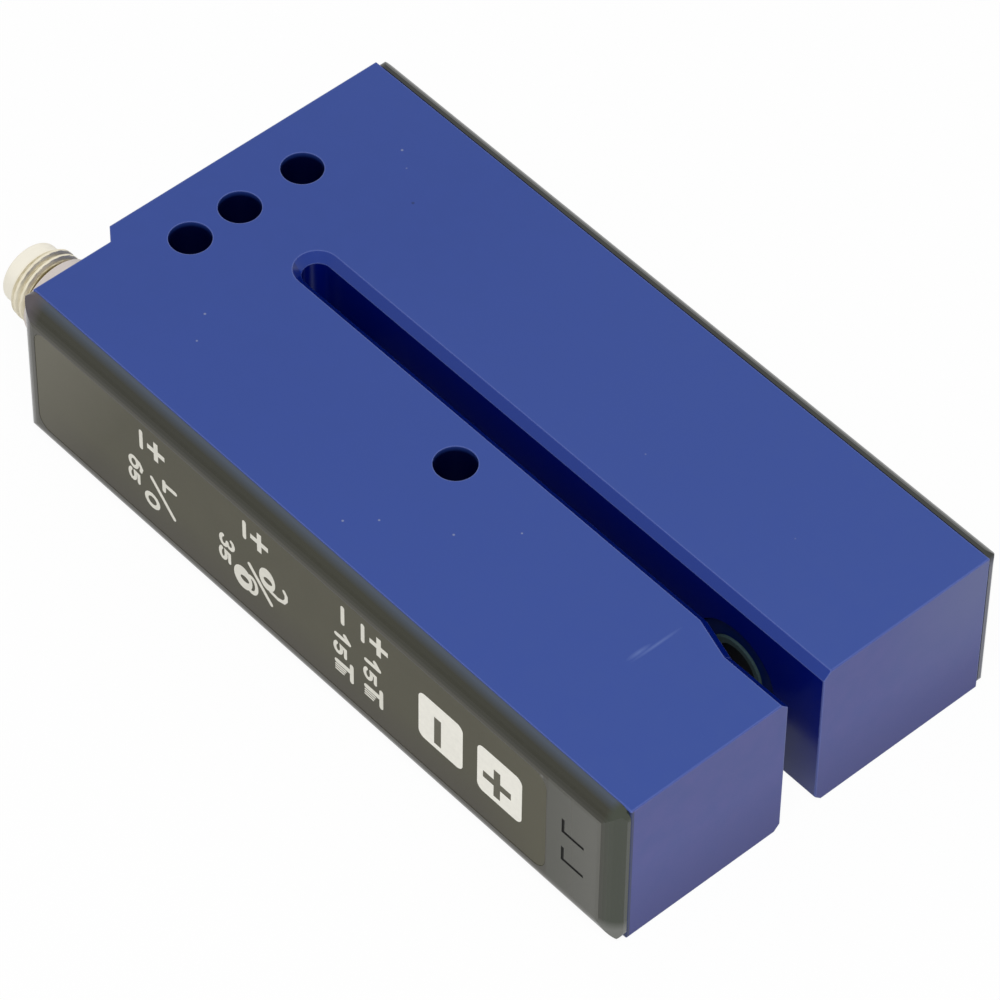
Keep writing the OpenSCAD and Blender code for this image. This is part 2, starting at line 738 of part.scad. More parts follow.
fork_body();
keypad_cover();
keypad_label();
keypad_cover_seal();
plain_cover();
plain_cover_seal();
main_circuit_board();
processor_chip();
driver_chip();
board_capacitors();
power_lamp();
output_lamp();
minus_key_switch();
plus_key_switch();
minus_key_plunger();
plus_key_plunger();
main_board_screws();
receiver_capsule();
receiver_disc();
receiver_backing();
receiver_ring();
receiver_leads();
transmitter_board();
pulse_transformer();
transmitter_board_screws();
transmitter_capsule();
transmitter_disc();
transmitter_backing();
transmitter_ring();
transmitter_leads();
link_cable();
connector_sleeve();
connector_seal_ring();
connector_insert();
contact_pins();
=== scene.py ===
import itertools
import json
import math
import bpy
import bmesh
from mathutils import Matrix, Vector


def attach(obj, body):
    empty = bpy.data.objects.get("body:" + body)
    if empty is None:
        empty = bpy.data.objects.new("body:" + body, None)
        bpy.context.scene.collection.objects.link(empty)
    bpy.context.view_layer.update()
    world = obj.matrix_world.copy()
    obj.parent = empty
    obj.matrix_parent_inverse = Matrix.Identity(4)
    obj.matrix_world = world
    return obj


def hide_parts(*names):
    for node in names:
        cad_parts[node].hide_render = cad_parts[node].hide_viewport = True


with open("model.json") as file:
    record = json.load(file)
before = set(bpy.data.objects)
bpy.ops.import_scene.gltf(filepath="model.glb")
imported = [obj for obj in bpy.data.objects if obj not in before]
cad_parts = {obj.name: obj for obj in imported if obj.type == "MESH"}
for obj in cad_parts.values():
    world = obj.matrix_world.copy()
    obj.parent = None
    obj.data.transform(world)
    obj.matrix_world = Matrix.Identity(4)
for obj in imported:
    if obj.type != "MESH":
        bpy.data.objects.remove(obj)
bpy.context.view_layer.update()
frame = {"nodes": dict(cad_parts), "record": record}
nodes = frame["nodes"]

MM = 1000.0
# Body coordinates in millimetres: x from the back face, y from the keypad side, z from below
ORIGIN = Vector((38.05, 21.75, 0.0))
BODY_H = 18.0
FRONT_X = 83.44  # a hair behind the two front faces


def metres(x, y, z):
    return (Vector((x, y, z)) - ORIGIN) / MM


# Screw holes, slot and transducers
ROW_Y = 15.15
HOLES = [(6.2, ROW_Y), (43.55, ROW_Y), (6.2, ROW_Y + 6.05), (6.2, ROW_Y + 13.75)]
HOLE_R = 2.14
SLOT_X, SLOT_Y = (14.0, FRONT_X), (17.8, 24.2)
SLOT_CHAMFER = 0.86
NEAR_CHAMFER_Y = (17.8, 20.45)
SOUND = (72.4, 20.0, 9.0)
SOUND_R, MEMBRANE_R = 5.7, 2.46

# Axis of the connector
CONN_Y, CONN_Z = 6.2, 9.0

# Marks on the metal: (x, y, z, radius), or a radius along each axis
TOP_SPECKS = [(x, y, BODY_H, r) for x, y, r in (
    (10.6, 37.55, 0.16), (14.5, 9.97, 0.16), (16.6, 7.25, 0.13), (42.0, 3.03, 0.15),
    (44.1, 5.53, 0.14), (49.8, 9.4, 0.15), (53.7, 14.1, 0.13))]
TOP_PITS = [(16.5, 33.75, BODY_H, 0.2)]
SCRATCHES = [(71.15, 14.4, BODY_H, (0.22, 3.3, 0.3)), (70.75, 12.6, BODY_H, (0.3, 1.6, 0.3))]

# Keypad cover: specks, and the corner mark in front of each lamp with a darker, duller border
# painted round it
COVER_FACE_Y = -1.75
COVER_SPECKS = [(72.0, COVER_FACE_Y, 4.7, 0.2), (74.0, COVER_FACE_Y, 15.5, 0.25),
                (63.9, COVER_FACE_Y, 3.7, 0.18)]
LAMP_X, LAMP_Z = 78.2, (11.15, 7.25)
MARK = ((-1.47, -0.82), (1.29, -0.82), (1.29, -0.58), (-1.23, -0.58), (-1.23, 0.94), (-1.47, 0.94))
MARK_BORDER = (((-1.54, -0.89), (1.36, -0.51)), ((-1.54, -0.89), (-1.16, 1.01)))
MARK_PAINT_Y = (-1.62, -1.70)


# Materials

ENDLESS = 1000.0  # a size that leaves an axis out of a distance


class Nodes:
    """A material's node tree with short calls."""

    def __init__(self, name):
        self.mat = bpy.data.materials.new(name)
        self.mat.use_nodes = True
        self.tree = self.mat.node_tree
        self.tree.nodes.clear()
        self.out = self.new("ShaderNodeOutputMaterial")
        self.shader = self.new("ShaderNodeBsdfPrincipled")
        self.link(self.shader.outputs[0], self.out.inputs[0])
        self.coord = self.new("ShaderNodeTexCoord").outputs["Object"]

    def new(self, kind, **props):
        node = self.tree.nodes.new(kind)
        for key, value in props.items():
            setattr(node, key, value)
        return node

    def link(self, a, b):
        self.tree.links.new(a, b)

    def set(self, **values):
        for key, value in values.items():
            self.shader.inputs[key.replace("_", " ")].default_value = value

    def colour(self, value):
        self.link(value, self.shader.inputs["Base Color"])

    def roughness(self, value):
        self.link(value, self.shader.inputs["Roughness"])

    def normal(self, value):
        self.link(value, self.shader.inputs["Normal"])

    def noise(self, per_mm, detail=3.0, stretch=(1.0, 1.0, 1.0), seed=0.0):
        """Noise with so many waves per millimetre, times the stretch along each axis."""
        node = self.new("ShaderNodeTexNoise")
        node.inputs["Scale"].default_value = 1.0
        node.inputs["Detail"].default_value = detail
        node.inputs["Roughness"].default_value = 0.5
        place = self.new("ShaderNodeMapping")
        place.inputs["Scale"].default_value = [per_mm * MM * k for k in stretch]
        place.inputs["Location"].default_value = (seed, seed * 1.7, seed * 0.6)
        self.link(self.coord, place.inputs[0])
        self.link(place.outputs[0], node.inputs["Vector"])
        return node.outputs["Fac"]

    def ramp(self, value, first, last):
        """Colour between two (position, colour) stops."""
        node = self.new("ShaderNodeValToRGB")
        for stop, (position, colour) in zip(node.color_ramp.elements, (first, last)):
            stop.position = position
            stop.color = (*colour, 1.0)
        self.link(value, node.inputs[0])
        return node.outputs["Color"]

    def spread(self, value, low, high, to_low=0.0, to_high=1.0):
        """Maps low..high on to_low..to_high and stays there outside."""
        node = self.new("ShaderNodeMapRange")
        for key, v in (("From Min", low), ("From Max", high),
                       ("To Min", to_low), ("To Max", to_high)):
            node.inputs[key].default_value = v
        self.link(value, node.inputs["Value"])
        return node.outputs["Result"]

    def mix(self, fac, a, b):
        """Colour a where fac is zero and b where it is one."""
        node = self.new("ShaderNodeMix", data_type="RGBA")
        for socket, v in ((node.inputs[0], fac), (node.inputs[6], a), (node.inputs[7], b)):
            if isinstance(v, (int, float)):
                socket.default_value = v
            elif isinstance(v, tuple):
                socket.default_value = (*v, 1.0)
            else:
                self.link(v, socket)
        return node.outputs[2]

    def math(self, op, a, b=0.0, c=0.0):
        node = self.new("ShaderNodeMath", operation=op)
        for socket, v in zip(node.inputs, (a, b, c)):
            if isinstance(v, (int, float)):
                socket.default_value = v
            else:
                self.link(v, socket)
        return node.outputs[0]

    def times(self, a, b):
        return self.math("MULTIPLY", a, b)

    def reach(self, place, size):
        """Distance from a place in body millimetres, counted in units of size along each axis."""
        node = self.new("ShaderNodeMapping", vector_type="TEXTURE")
        node.inputs["Location"].default_value = metres(*place)
        node.inputs["Scale"].default_value = [k / MM for k in size]
        self.link(self.coord, node.inputs[0])
        length = self.new("ShaderNodeVectorMath", operation="LENGTH")
        self.link(node.outputs[0], length.inputs[0])
        return length.outputs["Value"]

    def from_axis(self, place, axis):
        """Distance in millimetres from a line along x, y or z through a place."""
        size = [1.0, 1.0, 1.0]
        size["xyz".index(axis)] = ENDLESS
        return self.reach(place, size)

    def specks(self, places, soft=0.5):
        """One where a speck lies: each is (x, y, z, radius) or (x, y, z, (rx, ry, rz))."""
        total = None
        for x, y, z, r in places:
            far = self.reach((x, y, z), r if isinstance(r, tuple) else (r, r, r))
            one = self.spread(far, soft, 1.0, 1.0, 0.0)
            total = one if total is None else self.math("MAXIMUM", total, one)
        return total

    def along(self, axis):
        """Body coordinate in millimetres along x, y or z."""
        parts = self.new("ShaderNodeSeparateXYZ")
        self.link(self.coord, parts.inputs[0])
        k = "xyz".index(axis)
        return self.math("MULTIPLY_ADD", parts.outputs[k], MM, ORIGIN[k])

    def inside(self, **limits):
        """One inside a box given as x=(low, high) and so on."""
        total = None
        for axis, (low, high) in limits.items():
            value = self.along(axis)
            for op, edge in (("GREATER_THAN", low), ("LESS_THAN", high)):
                one = self.math(op, value, edge)
                total = one if total is None else self.times(total, one)
        return total

    def edge(self, radius):
        """Rounded normal at the edges, and a mask that is one on them."""
        bevel = self.new("ShaderNodeBevel", samples=6)
        self.link(radius, bevel.inputs["Radius"])
        flat = self.new("ShaderNodeNewGeometry")
        dot = self.new("ShaderNodeVectorMath", operation="DOT_PRODUCT")
        self.link(bevel.outputs[0], dot.inputs[0])
        self.link(flat.outputs["Normal"], dot.inputs[1])
        return bevel.outputs[0], self.spread(dot.outputs["Value"], 0.995, 0.95)

    def bump(self, height, distance_mm, strength=1.0, under=None):
        """Normal of a relief so many millimetres high, over another normal if one is given."""
        node = self.new("ShaderNodeBump")
        node.inputs["Distance"].default_value = distance_mm / MM
        node.inputs["Strength"].default_value = strength
        self.link(height, node.inputs["Height"])
        if under:
            self.link(under, node.inputs["Normal"])
        return node.outputs[0]


def surface(name, base, roughness, grain, tint=0.08, **more):
    """Plain finish: mottled colour, uneven gloss and a fine bump.

    The grain is its waves per millimetre and its height in millimetres.
    """
    n = Nodes(name)
    mottle = n.noise(0.35 * grain[0], detail=5.0)
    low = tuple(c * (1 - tint) for c in base)
    high = tuple(min(c * (1 + tint), 1.0) for c in base)
    n.colour(n.ramp(mottle, (0.3, low), (0.7, high)))
    n.set(**more)
    fine = n.noise(grain[0], detail=2.0, seed=3.1)
    n.roughness(n.spread(fine, 0.3, 0.7, roughness - 0.05, roughness + 0.05))
    n.normal(n.bump(fine, grain[1]))
    return n.mat


def front_face_painted_light(n, cloud):
    """Painted light on the front faces: paler than the rest, darker towards the bottom, palest in
    the far upper corner.
    """
    colour = n.ramp(cloud, (0.3, (0.036, 0.050, 0.255)), (0.7, (0.052, 0.055, 0.265)))
    colour = n.mix(n.spread(n.along("z"), 0.5, 9.0, 1.0, 0.0), colour, (0.020, 0.023, 0.190))
    corner = n.times(n.spread(n.along("y"), 30.0, 42.0), n.spread(n.along("z"), 4.0, 14.0))
    return n.mix(corner, colour, (0.074, 0.088, 0.268))


def slot_painted_shade(n):
    """Painted shade in the milled slot: the walls darkest, the near chamfer darker than the far
    one.
    """
    wall = n.inside(z=(SLOT_CHAMFER, BODY_H - SLOT_CHAMFER))
    chamfer = n.mix(n.inside(y=NEAR_CHAMFER_Y), (0.0, 0.018, 0.222), (0.001, 0.010, 0.152))
    return n.mix(wall, chamfer, (0.0, 0.005, 0.150))


def hole_shade(n, x, y):
    """One down a screw hole, fading out below its upper rim; it carries the painted shade in the
    holes.
    """
    deep = n.math("LESS_THAN", n.from_axis((x, y, 0.0), "z"), HOLE_R)
    return n.times(deep, n.spread(n.along("z"), 17.3, 17.95, 1.0, 0.0))


def dust(n):
    """Small pale points, far apart."""
    place = n.new("ShaderNodeMapping")
    place.inputs["Scale"].default_value = (220.0, 220.0, 220.0)
    place.inputs["Location"].default_value = (0.37, 0.11, 0.5)
    n.link(n.coord, place.inputs[0])
    cells = n.new("ShaderNodeTexVoronoi")
    cells.inputs["Scale"].default_value = 1.0
    n.link(place.outputs[0], cells.inputs["Vector"])
    spot = n.spread(cells.outputs["Distance"], 0.012, 0.028, 1.0, 0.0)
    channels = n.new("ShaderNodeSeparateColor")
    n.link(cells.outputs["Color"], channels.inputs[0])
    rare = n.math("GREATER_THAN", channels.outputs[0], 0.45)
    return n.times(n.times(spot, rare), 0.3)


def anodised_blue():
    """Satin blue anodising: etched grain, faint milling lines, dust and one scratch; edges paler
    from wear and painted highlight, painted light on the front faces, painted shade in the slot,
    the screw holes and the cover joint.
    """
    n = Nodes("blue_anodised_aluminium")
    n.set(Metallic=0.0, IOR=1.5, Specular_Tint=(0.70, 0.88, 1.0, 1.0))
    drift = n.noise(0.02, detail=2.0)
    cloud = n.noise(0.5, detail=4.0, seed=2.0)
    base = n.ramp(drift, (0.35, (0.019, 0.047, 0.262)), (0.65, (0.022, 0.052, 0.278)))
    base = n.mix(n.spread(n.along("x"), 20.0, 83.0), base, (0.028, 0.060, 0.285))
    base = n.mix(n.spread(cloud, 0.35, 0.65, 0.0, 0.25), base, (0.022, 0.052, 0.290))
    # painted light: the two front faces are painted paler, with painted shade low down
    base = n.mix(n.inside(x=(FRONT_X, 84.0)), base, front_face_painted_light(n, cloud))
    # painted shade inside the slot
    slot = n.inside(x=SLOT_X, y=SLOT_Y, z=(0.01, 17.99))
    base = n.mix(slot, base, slot_painted_shade(n))
    # sharp rim round the transducers, rounded edges everywhere else with a paler line painted on
    # them, partly wear and partly painted highlight
    bore = n.math("LESS_THAN", n.from_axis(SOUND, "y"), SOUND_R)
    rounded, wear_and_highlight = n.edge(n.spread(bore, 0.0, 1.0, 0.00018, 0.0))
    base = n.mix(n.times(wear_and_highlight, 0.75), base, (0.13, 0.17, 0.46))
    # painted shade down the screw holes
    for x, y in HOLES:
        base = n.mix(hole_shade(n, x, y), base, (0.0, 0.001, 0.028))
    # dark line along the keypad cover on the end faces: painted shade in the joint
    joint = n.inside(y=(-0.1, 0.36), z=(0.15, 17.85))
    base = n.mix(n.times(joint, 0.85), base, (0.008, 0.012, 0.06))
    pale = n.math("MAXIMUM", dust(n), n.times(n.specks(TOP_SPECKS), 0.45))
    base = n.mix(pale, base, (0.38, 0.40, 0.48))
    base = n.mix(n.times(n.specks(SCRATCHES, 0.0), 0.8), base, (0.10, 0.15, 0.40))
    base = n.mix(n.times(n.specks(TOP_PITS), 0.6), base, (0.0, 0.004, 0.05))
    n.colour(base)
    grain = n.noise(9.0, detail=3.0, seed=5.0)
    gloss = n.spread(grain, 0.3, 0.7, 0.30, 0.40)
    n.roughness(n.math("SUBTRACT", gloss, n.times(slot, 0.17)))
    lines = n.noise(1.0, detail=2.0, stretch=(0.05, 6.0, 6.0), seed=1.0)
    low = n.bump(lines, 0.0015, 0.5, under=rounded)
    n.normal(n.bump(grain, 0.0025, 0.6, under=low))
    return n.mat


def smoke_plastic(name, base, places):
    """Glossy smoke-coloured moulding with flow lines.

    places(n, colour) returns the colour with the paler and darker places of one cover in it, and a
    mask of the dull places or None.
    """
    n = Nodes(name)
    n.set(IOR=1.5)
    flow = n.noise(0.12, detail=3.0, stretch=(0.3, 1.0, 1.4))
    low = tuple(c * 0.85 for c in base)
    high = tuple(c * 1.2 for c in base)
    colour, dull = places(n, n.ramp(flow, (0.3, low), (0.7, high)))
    n.colour(colour)
    fine = n.noise(3.0, detail=3.0, seed=4.0)
    gloss = n.spread(fine, 0.3, 0.7, 0.09, 0.17)
    n.roughness(gloss if dull is None else n.math("MULTIPLY_ADD", dull, 0.7, gloss))
    n.normal(n.bump(n.noise(0.4, detail=2.0, seed=7.0), 0.004, 0.6))
    return n.mat


def plain_cover_places(n, colour):
    """Paler front edge, below the upper rim."""
    pale = n.times(n.spread(n.along("x"), 82.0, 82.8), n.spread(n.along("z"), 17.2, 17.7, 1.0, 0.0))
    return n.mix(pale, colour, (0.10, 0.105, 0.14)), None


def keypad_cover_places(n, colour):
    """Painted highlights on the rim along the metal and on the lower front and upper rear corners;
    front edge, flats round the foil, window, specks and mark borders.
    """
    # painted highlight: a paler bluish rim along the metal
    colour = n.mix(n.spread(n.along("y"), -1.0, -0.35), colour, (0.040, 0.056, 0.085))
    colour = n.mix(n.spread(n.along("x"), 81.6, 82.4), colour, (0.029, 0.037, 0.021))
    # painted highlight on the lower front corner
    corner = n.times(n.spread(n.along("z"), 1.6, 2.8, 1.0, 0.0), n.spread(n.along("x"), 79.8, 81.2))
    colour = n.mix(corner, colour, (0.15, 0.155, 0.14))
    # painted highlight on the upper rear corner
    rear = n.times(n.spread(n.along("z"), 13.0, 15.5), n.spread(n.along("x"), 2.6, 4.2, 1.0, 0.0))
    colour = n.mix(rear, colour, (0.075, 0.062, 0.070))
    window = n.mix(n.spread(n.along("x"), 75.5, 80.5), (0.034, 0.035, 0.020), (0.068, 0.068, 0.052))
    flat = n.mix(n.math("GREATER_THAN", n.along("x"), 74.8), (0.020, 0.017, 0.002), window)
    colour = n.mix(n.math("LESS_THAN", n.along("y"), -1.72), colour, flat)
    colour = n.mix(n.times(n.specks(COVER_SPECKS), 0.25), colour, (0.30, 0.30, 0.28))
    border = None
    for z in LAMP_Z:
        for (x0, z0), (x1, z1) in MARK_BORDER:
            bar = n.inside(x=(LAMP_X + x0, LAMP_X + x1), z=(z + z0, z + z1))
            border = bar if border is None else n.math("MAXIMUM", border, bar)
    return n.mix(border, colour, (0.004, 0.004, 0.004)), border


def label_foil():
    """Satin polyester foil: very fine texture, slightly warm and mottled; darker towards the
    bottom, paler towards the front and towards the rear upper corner.
    """
    n = Nodes("label_foil")
    cloud = n.noise(0.25, detail=4.0)
    base = n.ramp(cloud, (0.3, (0.034, 0.030, 0.003)), (0.7, (0.041, 0.036, 0.007)))
    base = n.mix(n.spread(n.along("z"), 2.5, 7.5, 1.0, 0.0), base, (0.024, 0.018, 0.003))
    base = n.mix(n.spread(n.along("x"), 66.0, 74.0), base, (0.050, 0.045, 0.013))
    rear = n.spread(n.math("MULTIPLY_ADD", n.along("z"), -0.6, n.along("x")), -3.0, 9.0, 1.0, 0.0)
    n.colour(n.mix(rear, base, (0.095, 0.088, 0.052)))
    n.set(IOR=1.41)
    fine = n.noise(14.0, detail=2.0, seed=2.0)
    n.roughness(n.spread(fine, 0.3, 0.7, 0.30, 0.38))
    n.normal(n.bump(fine, 0.002, 0.5))
    return n.mat


def turned_finish(n, rings, gloss, height_mm):
    """Gloss and relief in rings round the x axis."""
    n.roughness(n.spread(rings, 0.3, 0.7, *gloss))
    n.normal(n.bump(rings, height_mm, 0.4))


def gold_plating():
    """Turned pins, gold-plated."""
    n = Nodes("gold_plated_brass")
    n.set(Metallic=1.0)
    cloud = n.noise(0.8, detail=5.0)
    base = (0.85, 0.62, 0.26)
    n.colour(n.ramp(cloud, (0.3, tuple(c * 0.88 for c in base)), (0.7, base)))
    turned_finish(n, n.noise(1.0, detail=2.0, stretch=(14.0, 0.2, 0.2)), (0.15, 0.28), 0.002)
    return n.mat


def sleeve_metal():
    """Nickel plating, dull and warm on the thread, greyer at the nose; painted shade and a painted
    pink highlight tint on the collar, brown painted shade in the grooves, strongest on the upper
    side.
    """
    n = Nodes("nickel_plated_brass")
    n.set(Metallic=1.0)
    cloud = n.noise(0.9, detail=5.0)
    base = n.ramp(cloud, (0.3, (0.78, 0.72, 0.56)), (0.7, (0.87, 0.81, 0.65)))
    base = n.mix(n.spread(n.along("x"), -5.9, -5.5, 1.0, 0.0), base, (0.89, 0.85, 0.74))
    # painted shade and a pink painted highlight tint over the whole collar
    base = n.mix(n.inside(x=(-2.92, 0.0)), base, (0.64, 0.58, 0.55))
    # painted shade in the thread grooves, brown, strongest on the upper side and near the collar
    radius = n.from_axis((0.0, CONN_Y, CONN_Z), "x")
    groove = n.times(n.spread(radius, 3.50, 3.85, 1.0, 0.0), n.inside(x=(-5.45, -2.88)))
    groove = n.times(groove, n.spread(n.along("x"), -4.0, -3.4, 0.5, 0.85))
    groove = n.times(groove, n.spread(n.along("z"), 8.0, 12.0, 0.1, 1.0))
    n.colour(n.mix(groove, base, (0.42, 0.36, 0.19)))
    turned_finish(n, n.noise(1.0, detail=2.0, stretch=(10.0, 0.2, 0.2)), (0.38, 0.50), 0.0015)
    return n.mat


def capsule_skin():
    """Dull navy moulding of the transducer, black where the membrane is."""
    n = Nodes("capsule_plastic")
    n.set(IOR=1.25)
    cloud = n.noise(1.5, detail=4.0)
    base = n.ramp(cloud, (0.3, (0.0008, 0.008, 0.072)), (0.7, (0.0012, 0.011, 0.086)))
    membrane = n.math("LESS_THAN", n.from_axis(SOUND, "y"), MEMBRANE_R)
    n.colour(n.mix(membrane, base, (0.0015, 0.002, 0.004)))
    fine = n.noise(7.0, detail=2.0, seed=3.1)
    n.roughness(n.spread(fine, 0.3, 0.7, 0.55, 0.68))
    n.normal(n.bump(fine, 0.005))
    return n.mat


def board_laminate():
    """Green solder mask with the faint weave of the glass cloth under it."""
    n = Nodes("board_laminate")
    threads = []
    for direction in "XZ":
        wave = n.new("ShaderNodeTexWave", wave_type="BANDS", bands_direction=direction)
        wave.inputs["Scale"].default_value = 500.0
        n.link(n.coord, wave.inputs["Vector"])
        threads.append(wave.outputs["Fac"])
    weave = n.times(*threads)
    n.colour(n.ramp(weave, (0.2, (0.004, 0.075, 0.030)), (0.8, (0.008, 0.110, 0.045))))
    n.set(Roughness=0.32)
    n.normal(n.bump(weave, 0.004, 0.4))
    return n.mat


# name: (colour, roughness, grain, metallic)
PLAIN = {
    "seal_rubber": ((0.02, 0.02, 0.02), 0.7, (4.0, 0.02), 0.0),
    "chip_epoxy": ((0.02, 0.02, 0.022), 0.6, (12.0, 0.01), 0.0),
    "capacitor_can": ((0.70, 0.69, 0.66), 0.3, (6.0, 0.003), 1.0),
    "lamp_resin": ((0.75, 0.77, 0.70), 0.25, (5.0, 0.003), 0.0),
    "switch_plastic": ((0.03, 0.03, 0.033), 0.5, (8.0, 0.006), 0.0),
    "plunger_plastic": ((0.66, 0.66, 0.60), 0.45, (8.0, 0.005), 0.0),
    "zinc_steel": ((0.60, 0.61, 0.60), 0.35, (6.0, 0.004), 1.0),
    "piezo_ceramic": ((0.60, 0.55, 0.40), 0.6, (10.0, 0.01), 0.0),
    "potting_resin": ((0.02, 0.018, 0.016), 0.25, (1.0, 0.02), 0.0),
    "ring_elastomer": ((0.030, 0.056, 0.060), 0.6, (6.0, 0.01), 0.0),
    "copper_wire": ((0.75, 0.55, 0.40), 0.3, (6.0, 0.003), 1.0),
    "ferrite_core": ((0.035, 0.034, 0.034), 0.55, (9.0, 0.01), 0.0),
    "cable_sheath": ((0.02, 0.02, 0.022), 0.5, (5.0, 0.01), 0.0),
    "insert_plastic": ((0.015, 0.015, 0.015), 0.5, (8.0, 0.006), 0.0),
}
MATERIALS = {name: surface(name, colour, roughness, grain, Metallic=metallic)
             for name, (colour, roughness, grain, metallic) in PLAIN.items()}
MATERIALS.update({
    "blue_anodised_aluminium": anodised_blue(),
    "smoke_gloss_plastic": smoke_plastic("smoke_gloss_plastic", (0.017, 0.017, 0.005),
                                         keypad_cover_places),
    "dark_gloss_plastic": smoke_plastic("dark_gloss_plastic", (0.014, 0.016, 0.012),
                                        plain_cover_places),
    "label_foil": label_foil(),
    "board_laminate": board_laminate(),
    "capsule_plastic": capsule_skin(),
    "nickel_plated_brass": sleeve_metal(),
    "gold_plated_brass": gold_plating(),
})
for part in frame["record"]["subparts"]:
    for slot in nodes[part["node"]].material_slots:
        slot.material = MATERIALS[part["material_slot"]]

PRINT_GRAIN = (5.0, 0.002)
PRINT_WHITE = surface("print_white", (0.95, 0.93, 0.84), 0.42, PRINT_GRAIN, tint=0.03)
PRINT_LEGEND = surface("print_legend", (0.80, 0.78, 0.69), 0.42, PRINT_GRAIN, tint=0.04)
PRINT_DARK = surface("print_dark", (0.068, 0.062, 0.030), 0.42, PRINT_GRAIN, tint=0.05)
MARK_DARK = surface("mark_dark", (0.012, 0.012, 0.011), 0.6, PRINT_GRAIN, tint=0.05,
                    Specular_IOR_Level=0.1)


def add_piece(name, bm, material, smooth=True):
    """Turns a bmesh in body millimetres into a piece that rides on the housing."""
    for v in bm.verts:
        v.co = metres(*v.co)
    bmesh.ops.recalc_face_normals(bm, faces=bm.faces)
    mesh = bpy.data.meshes.new(name)
    bm.to_mesh(mesh)
    bm.free()
    mesh.materials.append(material)
    obj = bpy.data.objects.new(name, mesh)
    bpy.context.scene.collection.objects.link(obj)
    for poly in mesh.polygons:
        poly.use_smooth = smooth
    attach(obj, "housing")
    return obj


# Connector sleeve with real thread turns

SOCKET_R, BARREL_R, COLLAR_R = 2.6, 4.0, 4.3
UNDERCUT_R, ROOT_R, CREST_R, NOSE_R = 3.4, 3.58, 3.9, 3.3
SLEEVE_SIDES = 160
PITCH = 0.85
THREAD = (3.4, 5.6)
THREAD_ROWS = 58
NOSE_ROUND = 0.4


def sleeve_profile():
    """(distance along the axis, radius) pairs round the section; a None is left to the thread.

    The barrel is inside the body and its groove holds the seal ring.
    """
    rows = [(-7.4, SOCKET_R), (-7.4, 3.8), (-7.2, BARREL_R), (-4.4, BARREL_R), (-4.4, 3.4),
            (-3.4, 3.4), (-3.4, BARREL_R), (-1.6, BARREL_R), (-1.6, COLLAR_R), (2.7, COLLAR_R),
            (2.85, 4.24), (2.9, 4.1), (2.9, UNDERCUT_R)]
    rows += [(THREAD[0] + (THREAD[1] - THREAD[0]) * k / THREAD_ROWS, None)
             for k in range(THREAD_ROWS + 1)]
    rows += [(5.75, NOSE_R), (7.0, NOSE_R)]
    rows += [(7.0 + NOSE_ROUND * math.sin(a), NOSE_R - NOSE_ROUND + NOSE_ROUND * math.cos(a))
             for a in [math.radians(15 * i) for i in range(1, 7)]]
    return rows + [(7.4, SOCKET_R), (1.0, SOCKET_R)]


def thread_radius(s, turn):
    """Right-hand thread with flat crests, cut off by a chamfer at both ends of its stretch."""
    phase = ((s - 4.45) / PITCH + turn - 0.3056) % 1.0
    flank = (min(phase, 1.0 - phase) - 0.04) / 0.32
    radius = ROOT_R + (CREST_R - ROOT_R) * min(max(flank, 0.0), 1.0)
    radius = min(radius, UNDERCUT_R + (s - THREAD[0]) * 2.2, CREST_R - (s - 5.3) * 2.0)
    return max(radius, NOSE_R)


def threaded_sleeve():
    bm = bmesh.new()
    rings = []
    for s, r in sleeve_profile():
        loop = []
        for i in range(SLEEVE_SIDES):
            turn = i / SLEEVE_SIDES
            a = 2 * math.pi * turn
            radius = thread_radius(s, turn) if r is None else r
            place = (-s, CONN_Y + radius * math.cos(a), CONN_Z + radius * math.sin(a))
            loop.append(bm.verts.new(place))
        rings.append(loop)
    for k, loop in enumerate(rings):
        after = rings[(k + 1) % len(rings)]
        for i in range(SLEEVE_SIDES):
            j = (i + 1) % SLEEVE_SIDES
            bm.faces.new((loop[i], loop[j], after[j], after[i]))
    return bm


sleeve = add_piece("threaded_connector_sleeve", threaded_sleeve(),
                   MATERIALS["nickel_plated_brass"])
sleeve.data.set_sharp_from_angle(angle=math.radians(35))
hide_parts("connector_sleeve")


# Print on the label: strokes in label coordinates, x along the body and z up

LABEL_Y = -1.73
PRINT_FOOT = LABEL_Y + 0.01  # the print reaches into the foil by this much
KEY_LIFT, SIGN_LIFT = 0.006, 0.010
LIFTS = itertools.cycle((0.008, 0.010, 0.012, 0.006))


def next_lift():
    """Strokes that cross lie a hair above each other."""
    return LABEL_Y - next(LIFTS)


